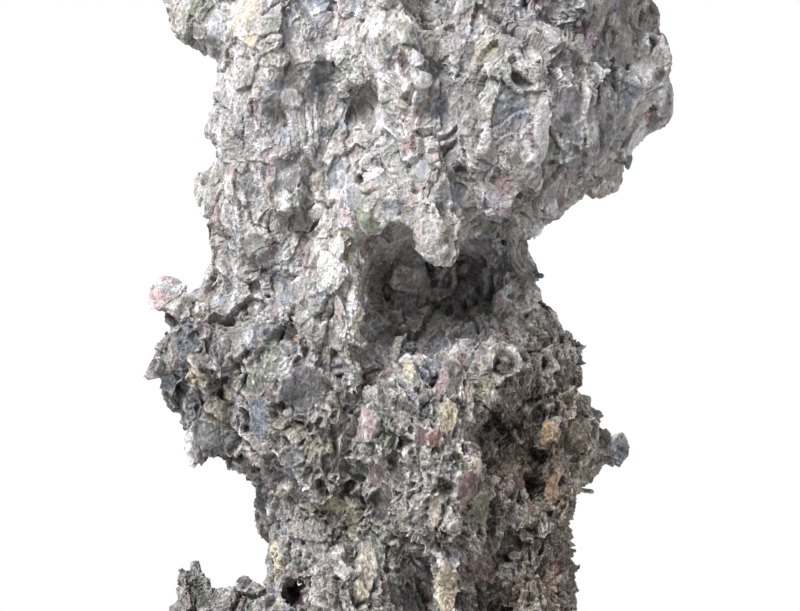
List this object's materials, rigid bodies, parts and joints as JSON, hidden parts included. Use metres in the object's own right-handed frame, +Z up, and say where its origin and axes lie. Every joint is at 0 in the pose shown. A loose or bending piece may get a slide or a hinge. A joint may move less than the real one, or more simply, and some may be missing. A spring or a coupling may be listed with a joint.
{
  "type": "viewing stone",
  "caption": "Upright craggy viewing stone of grey conglomerate, with a cave under an overhanging brow, a small window and a sawn flat foot.",
  "frame": {"origin": "on the sawn foot, near its middle and under the stone's middle", "axes": "+Z up along the stone, -Y to the front with the cave, +X to the right seen from the front"},
  "size_m": [0.1665, 0.0894, 0.2649],
  "materials": {
    "conglomerate": "rough broken rock: grey gritty matrix with plum, cream, green and blue-grey grains and white veins"
  },
  "bodies": {
    "root": {"stone": "conglomerate"}
  },
  "joints": []
}
